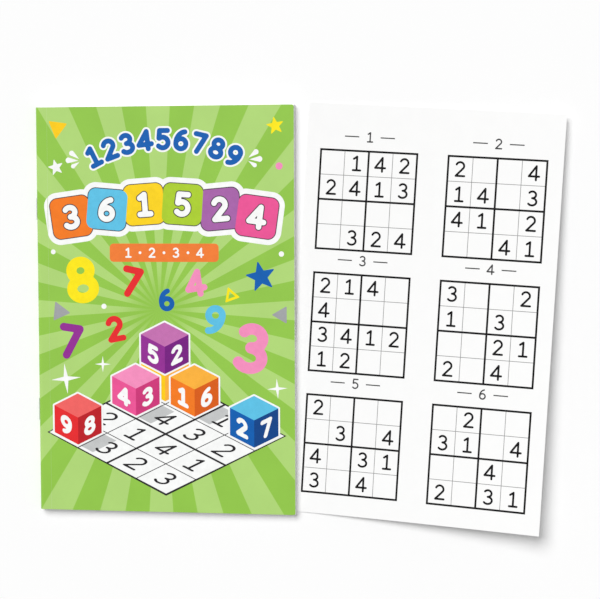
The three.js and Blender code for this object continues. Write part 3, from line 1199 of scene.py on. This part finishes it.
# Numbers on the board's cells, by cell across and down
BOARD_NUMBERS = {(1, 1): 4, (2, 0): 1, (0, 2): 2, (2, 1): 3, (1, 2): 1, (2, 2): 4, (3, 1): 2, (1, 3): 3,
                 (3, 2): 1, (2, 3): 2, (3, 3): 3}
BOARD_TOP = -34
BOARD_CELL = 16
BOARD_RIM = 1.2
BOARD_LINES = {1: 0.014, 2: 0.035, 3: 0.014}

# Height and half the stroke's width of a number, as shares of a block's face and of a board's cell
BLOCK_NUMERAL = (0.68, 0.078)
BOARD_NUMERAL = (0.6, 0.036)


def cover_ink(name):
    """Name of an ink's material, which is made when it is first asked for."""
    label = f"cover_ink_{name}"
    shared_material(label, ink_material, srgb(*COVER_INKS[name]), True)
    return label


def board_spot(across, down):
    """A place on the number board, in cells from its far corner."""
    return (across - down) * BOARD_CELL, BOARD_TOP - (across + down) * BOARD_CELL / 2


def block_foot(across, down, level):
    """The near corner of a block that stands in the middle of a cell."""
    x, y = board_spot(across + 1, down + 1)
    return x, y + (BOARD_CELL - BLOCK_SIZE) / 2 + level * BLOCK_HEIGHT


def loose_outline(kind, size):
    """A star, a sparkle, a dot, or a triangle that is full or open."""
    if kind == "star":
        return soft_outline(star_corners(5, size, size * STAR_WAIST), size * STAR_ROUNDING)
    if kind == "spark":
        return [star_corners(4, size, size * SPARK_WAIST)]
    if kind == "dot":
        return disc(size)
    triangle = star_corners(3, size, size / 2)
    hole = [[(x * OPEN_SHARE, y * OPEN_SHARE) for x, y in triangle]] if kind == "open" else []
    return soft_outline(triangle, size * TRIANGLE_ROUNDING) + hole


class CoverDesign:
    """Draws the shapes of the cover."""

    def __init__(self):
        self.face = PrintedFace()

    def add(self, ink, loops, layer=0):
        scaled = [[(x * MM, y * MM) for x, y in loop] for loop in loops]
        self.face.add(cover_ink(ink), scaled, layer)

    def number(self, digit, ink, place, height, turn, kind="loose", layer=0, grow=0.0):
        loops = numeral_loops(digit, height, height * STROKE[kind], grow)
        self.add(ink, moved(loops, place, turn), layer)

    def arch(self, digits, ink, top, radius, height):
        """A row of numbers with white outlines, arched about a middle below it."""
        for index, digit in enumerate(digits):
            turn = (index - (len(digits) - 1) / 2) * ARCH_TURN
            angle = math.radians(turn)
            place = (radius * math.sin(angle), top - radius * (1 - math.cos(angle)))
            self.number(digit, "white", place, height, -turn, "arch", index % 2 * OVERLAP, ARCH_BORDER)
            self.number(digit, ink, place, height, -turn, "arch", 1)

    def splash(self, side):
        """Three white drops that fly out to one side."""
        place = (side * DROPS_PLACE[0], DROPS_PLACE[1])
        for turn, size in DROPS:
            self.add("white", moved(DROP, place, turn if side > 0 else 180 - turn, size))

    def tile(self, digit, ink, place, turn, layer):
        """A rounded number tile with a dark line and a wide white border."""
        corners = box_corners(TILE_SIDE - 2 * TILE_CORNER, TILE_SIDE - 2 * TILE_CORNER)
        for border, colour, rise in ((TILE_BORDER, "white", 0), (TILE_LINE, "outline", 2), (0.0, ink, 3)):
            self.add(colour, moved(soft_outline(corners, TILE_CORNER + border), place, turn), layer + rise)
        self.number(digit, "outline", place, TILE_NUMBER, turn, "tile", layer + 4, TILE_NUMBER_LINE)
        self.number(digit, "white", place, TILE_NUMBER, turn, "tile", layer + 5)

    def bar(self, place, width, height):
        """A rounded bar with small white numbers and dots."""
        x, y = place
        corners = box_corners(width - 2 * BAR_CORNER, height - 2 * BAR_CORNER)
        self.add("banner", moved(soft_outline(corners, BAR_CORNER), place))
        for index, digit in enumerate(DIGITS):
            self.number(digit, "white", (x + (index - 1.5) * BAR_PITCH, y), BAR_NUMBER, 0, "bar", 1)
        for index in (-1, 0, 1):
            self.add("white", moved(disc(BAR_DOT, count=20), (x + index * BAR_PITCH, y)), 1)

    def board(self):
        """A white number board seen from a corner, four cells each way, with the blocks' shadows."""
        rim = [board_spot(*corner) for corner in ((0, 0), (4, 0), (4, 4), (0, 4))]
        self.add("black", [pushed_out(rim, BOARD_RIM)])
        self.add("white", [rim], 1)
        for across, down, level, *_ in BLOCKS:
            x, y = block_foot(across, down, level)
            if level == 0 and across < 3 and across + down > 0:
                edge = [(x, y), (x + BLOCK_SIZE, y + BLOCK_SIZE / 2)]
                cast = [(x + SHADOW_REACH, y - SHADOW_REACH / 2) for x, y in reversed(edge)]
                self.add("shadow", [edge + cast], 2)
        for index, width in BOARD_LINES.items():
            low, high = index - width, index + width
            for corners, layer in ((((low, 0), (high, 0), (high, 4), (low, 4)), 3),
                                   (((0, low), (4, low), (4, high), (0, high)), 4)):
                self.add("black", [[board_spot(*corner) for corner in corners]], layer)
        for (across, down), digit in BOARD_NUMBERS.items():
            axes = (BOARD_CELL, -BOARD_CELL / 2), (BOARD_CELL, BOARD_CELL / 2)
            loops = numeral_loops(digit, *BOARD_NUMERAL)
            self.add("black", skewed(loops, board_spot(across + 0.5, down + 0.5), *axes), 3)

    def block(self, place, colours, digits, layer):
        """A number block seen from a corner: top, left and right faces."""
        x, y = place
        size, half, rise = BLOCK_SIZE, BLOCK_SIZE / 2, BLOCK_HEIGHT
        front, left, right = (x, y), (x - size, y + half), (x + size, y + half)
        front_top, left_top = (x, y + rise), (x - size, y + half + rise)
        right_top, back_top = (x + size, y + half + rise), (x, y + size + rise)
        top, side, shade = colours
        outline = [front, right, right_top, back_top, left_top, left]
        self.add("white", soft_outline(outline, BLOCK_BORDER), layer)
        self.add(top, [[front_top, right_top, back_top, left_top]], layer + 1)
        self.add(side, [[front, front_top, left_top, left]], layer + 1)
        self.add(shade, [[front, right, right_top, front_top]], layer + 1)
        for digit, turn in zip(digits, (-1, 1)):
            middle = (x + turn * half, y + half / 2 + rise / 2)
            loops = numeral_loops(digit, *BLOCK_NUMERAL)
            self.add("white", skewed(loops, middle, (size, turn * half), (0, rise)), layer + 2)

    def draw(self):
        """The whole front: arched numbers, number tiles, a bar, loose shapes, and blocks on a board."""
        self.arch(range(1, 10), "blue", top=90.5, radius=85, height=11.8)
        for side in (1, -1):
            self.splash(side)
        for index, (digit, ink, x, y, turn) in enumerate(TILES):
            self.tile(digit, ink, (x, y), turn, index % 2 * OVERLAP)
        self.bar((0, 30.6), width=59, height=9.7)
        for kind, ink, x, y, size, turn in LOOSE_SHAPES:
            self.add(ink, moved(loose_outline(kind, size), (x, y), turn))
        for digit, ink, x, y, height, turn in LOOSE_NUMBERS:
            self.number(digit, ink, (x, y), height, turn)
        self.board()
        for across, down, level, layer, colours, digits in BLOCKS:
            self.block(block_foot(across, down, level), colours, digits, layer)


class PUZZLEBOOK_OT_cover_print(bpy.types.Operator):
    """Prints the front cover with number tiles, blocks, a board and scattered shapes"""
    bl_idname = "puzzle_book.cover_print"
    bl_label = "Cover Print"

    def execute(self, context):
        design = CoverDesign()
        design.draw()

        def place(across, up, lift):
            return on_front(across - FOLD_X, up, COVER_OUTER + lift)

        score, crease = FOLD_X + SCORE, context.scene.puzzle_cover.crease
        panel = design.face.lay("front_cover_print", place, right_of=score + crease / 2)
        strip = design.face.lay("front_hinge_print", place, left_of=score - crease)
        finish_piece(panel, "front_cover", "cover_card")
        finish_piece(strip, "front_leaf", "cover_card")
        return {"FINISHED"}


class PUZZLEBOOK_OT_folded_sheets(bpy.types.Operator):
    """Gives the folded sheets their paper and makes their folds and the torn stub's teeth"""
    bl_idname = "puzzle_book.folded_sheets"
    bl_label = "Folded Sheets"

    def execute(self, context):
        paper = page_paper()
        for name, node in frame["nodes"].items():
            if name.startswith("sheet_") and not name.endswith("_fold"):
                node.material_slots[0].material = paper
        for number in range(1, SHEET_COUNT + 1):
            name, radius = sheet_name(number), sheet_radius(number)
            piece = fold_piece(f"{name}_folded", radius, PAPER, FOLD_TURNS, [paper] * 3)
            finish_fold(piece, radius, f"{name}_fold")
        radius = sheet_radius(2)
        teeth = torn_teeth("stub_torn_teeth", STUB_TEETH_SEED,
                           lambda out, up, lift: on_front(STUB_WIDTH - out, up, radius + lift))
        finish_piece(teeth, "sheet_02_front", "page_paper")
        return {"FINISHED"}


class PUZZLEBOOK_OT_printed_pages(bpy.types.Operator):
    """Prints the first page and the middle spread with puzzles"""
    bl_idname = "puzzle_book.printed_pages"
    bl_label = "Printed Pages"

    def execute(self, context):
        page = context.scene.puzzle_pages
        middle = page.gutter - FOLD_X
        outer = sheet_radius(1) + PAPER
        first_page = lesson_page(
            "first_page_print", lambda x, y, lift: on_front(middle + x, y, outer + lift))
        finish_piece(first_page, "front_leaf", "page_paper")
        left_page = puzzle_page(
            "left_page_print", lambda x, y, lift: on_front(middle - x, y - page.drop, MIDDLE_RADIUS - lift))
        finish_piece(left_page, f"{MIDDLE_SHEET}_front", "page_paper")
        right_page = puzzle_page(
            "right_page_print", lambda x, y, lift: on_back(middle + x, y - page.drop, MIDDLE_RADIUS - lift))
        finish_piece(right_page, f"{MIDDLE_SHEET}_back", "page_paper")
        return {"FINISHED"}


class PUZZLEBOOK_OT_tear_out_leaf(bpy.types.Operator):
    """Makes the torn-out puzzle leaf, its print on both sides and its torn edge"""
    bl_idname = "puzzle_book.tear_out_leaf"
    bl_label = "Tear-out Leaf"

    def execute(self, context):
        width, _ = leaf_size()
        grids = point_grids(on_leaf, steps(0, width, LEAF_CELLS[0]), steps(0, TRIM_HEIGHT, LEAF_CELLS[1]),
                            (0.0, PAPER))
        leaf = shell_piece("tear_out_leaf_paper", grids, [page_paper()] * 3, smooth=True)
        finish_piece(leaf, "tear_out_leaf", "page_paper", "tear_out_leaf")
        across = width / 2 + context.scene.puzzle_leaf.print_shift
        up = TRIM_HEIGHT / 2 - context.scene.puzzle_pages.drop
        front = puzzle_page(
            "tear_out_leaf_print", lambda x, y, lift: on_leaf(across + x, up + y, PAPER + lift))
        back = puzzle_page(
            "tear_out_leaf_back_print", lambda x, y, lift: on_leaf(across - x, up + y, -lift))
        teeth = torn_teeth("tear_out_leaf_teeth", LEAF_TEETH_SEED,
                           lambda out, up, lift: on_leaf(out, up + TRIM_HEIGHT / 2, lift))
        for piece in (front, back, teeth):
            finish_piece(piece, "tear_out_leaf", "page_paper")
        return {"FINISHED"}


# Staples
BEND_CELLS = 6


def wire_path(low, high):
    """Middle line of a staple: a folded end, a leg, the crown, a leg and a folded end."""
    wire = bpy.context.scene.puzzle_wire
    crown = low.x + WIRE
    tail, head = low.y + WIRE, high.y - WIRE
    corners = [Vector(corner) for corner in (
        (FOLD_X, tail + wire.clinch), (FOLD_X, tail), (crown, tail),
        (crown, head), (FOLD_X, head), (FOLD_X, head - wire.clinch))]
    path = [corners[0]]
    for before, here, after in zip(corners, corners[1:], corners[2:]):
        into, out = (before - here).normalized() * wire.bend, (after - here).normalized() * wire.bend
        centre = here + into + out
        for turn in steps(0, math.pi / 2, BEND_CELLS):
            path.append(centre - out * math.cos(turn) - into * math.sin(turn))
    return path + [corners[-1]]


def wire_mesh(name, path, steel):
    """A round wire along a flat path, closed at both ends."""
    sides = bpy.context.scene.puzzle_wire.sides
    points, faces = [], []
    for index, here in enumerate(path):
        along = path[min(index + 1, len(path) - 1)] - path[max(index - 1, 0)]
        out = Vector((along.y, -along.x)).normalized() * WIRE
        for turn in steps(0, 2 * math.pi, sides)[:-1]:
            points.append((here.x + out.x * math.cos(turn), here.y + out.y * math.cos(turn),
                           FOLD_Z + WIRE * math.sin(turn)))
    last = (len(path) - 1) * sides
    for ring in range(0, last, sides):
        for side in range(sides):
            after = (side + 1) % sides
            faces.append([ring + side, ring + after, ring + sides + after, ring + sides + side])
    faces += [list(range(sides)), list(range(last, last + sides))]
    mesh = tidy_mesh(new_mesh(name, points, faces, [steel]))
    for face in mesh.polygons:
        face.use_smooth = len(face.vertices) == 4
    return mesh


class PUZZLEBOOK_OT_staples(bpy.types.Operator):
    """Makes the two wire staples"""
    bl_idname = "puzzle_book.staples"
    bl_label = "Staples"

    def execute(self, context):
        steel = shared_material("staple_steel", steel_material, context.scene.puzzle_wire.steel)
        for node in STAPLE_NODES:
            mesh = wire_mesh(f"{node}_wire", wire_path(*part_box(node)), steel)
            finish_piece(new_object(mesh.name, mesh), "staples", "staple_wire", node)
        return {"FINISHED"}


# Stage
FLOOR_SIDE = 6.0
FLOOR_DROP = 0.1 * MM
SENSOR_WIDTH = 36


def seen_directly(tree):
    """One for rays that the camera, a gloss or a clear body sends, nought for the light on things."""
    rays = add_node(tree, "ShaderNodeLightPath").outputs
    total = math_node(tree, "ADD", rays["Is Camera Ray"], rays["Is Glossy Ray"])
    return math_node(tree, "ADD", total, rays["Is Transmission Ray"], clamp=True)


def studio_world(key):
    """A white world that gives the share of light that the key lamp leaves."""
    world = bpy.data.worlds.new("studio")
    world.use_nodes = True
    tree = world.node_tree
    tree.nodes.clear()
    strength = step_node(tree, seen_directly(tree), start=0.0, end=1.0, low=1 - key)
    sky = add_node(tree, "ShaderNodeBackground", {"Color": (1, 1, 1, 1), "Strength": strength})
    add_node(tree, "ShaderNodeOutputWorld", {"Surface": sky.outputs[0]})
    return world


class PUZZLEBOOK_OT_stage(bpy.types.Operator):
    """Sets the pale floor, the soft light and the camera"""
    bl_idname = "puzzle_book.stage"
    bl_label = "Stage"

    def execute(self, context):
        stage = context.scene.puzzle_stage
        corners = [(x, y, -FLOOR_DROP) for x, y in box_corners(FLOOR_SIDE, FLOOR_SIDE)]
        material = shared_material("pale_floor", floor_material, stage.floor)
        new_object("floor", new_mesh("floor", corners, [(0, 1, 2, 3)], [material]))
        context.scene.world = studio_world(stage.key)
        lamp = bpy.data.lights.new("key", "SUN")
        lamp.energy = stage.key * math.pi / math.sin(stage.key_height)
        lamp.angle = stage.key_spread
        level = math.cos(stage.key_height)
        source = Vector((math.cos(stage.key_side) * level, math.sin(stage.key_side) * level,
                         math.sin(stage.key_height)))
        new_object("key", lamp).rotation_euler = source.to_track_quat("Z", "Y").to_euler()
        camera = bpy.data.cameras.new("camera")
        camera.lens = stage.lens
        camera.sensor_width = SENSOR_WIDTH
        holder = new_object("camera", camera)
        holder.location = stage.camera_place
        holder.rotation_euler = stage.camera_turn
        context.scene.camera = holder
        context.scene.view_settings.view_transform = "Standard"
        return {"FINISHED"}


class PUZZLEBOOK_PT_panel(bpy.types.Panel):
    """Sizes, colours and making of the puzzle book"""
    bl_idname = "PUZZLEBOOK_PT_panel"
    bl_label = "Puzzle Book"
    bl_space_type = "VIEW_3D"
    bl_region_type = "UI"
    bl_category = "Puzzle Book"

    def draw(self, context):
        for name in SETTINGS:
            box = self.layout.box()
            settings = getattr(context.scene, name)
            box.label(text=settings.bl_rna.description)
            for field in settings.bl_rna.properties:
                if field.identifier not in {"rna_type", "name"}:
                    box.prop(settings, field.identifier)
        for operator in OPERATORS:
            self.layout.operator(operator.bl_idname)


SETTINGS = {"puzzle_cover": CoverSettings, "puzzle_pages": PageSettings, "puzzle_leaf": LeafSettings,
            "puzzle_wire": WireSettings, "puzzle_stage": StageSettings}
OPERATORS = (PUZZLEBOOK_OT_stage, PUZZLEBOOK_OT_card_cover, PUZZLEBOOK_OT_cover_print,
             PUZZLEBOOK_OT_folded_sheets, PUZZLEBOOK_OT_printed_pages, PUZZLEBOOK_OT_tear_out_leaf,
             PUZZLEBOOK_OT_staples)


def register():
    for settings in SETTINGS.values():
        bpy.utils.register_class(settings)
    for name, settings in SETTINGS.items():
        setattr(bpy.types.Scene, name, PointerProperty(type=settings))
    for operator in OPERATORS:
        bpy.utils.register_class(operator)
    bpy.utils.register_class(PUZZLEBOOK_PT_panel)


def unregister():
    bpy.utils.unregister_class(PUZZLEBOOK_PT_panel)
    for operator in reversed(OPERATORS):
        bpy.utils.unregister_class(operator)
    for name, settings in SETTINGS.items():
        delattr(bpy.types.Scene, name)
        bpy.utils.unregister_class(settings)


def main():
    register()
    bpy.ops.puzzle_book.stage()
    bpy.ops.puzzle_book.card_cover()
    bpy.ops.puzzle_book.cover_print()
    bpy.ops.puzzle_book.folded_sheets()
    bpy.ops.puzzle_book.printed_pages()
    bpy.ops.puzzle_book.tear_out_leaf()
    bpy.ops.puzzle_book.staples()


if __name__ == "__main__":
    main()
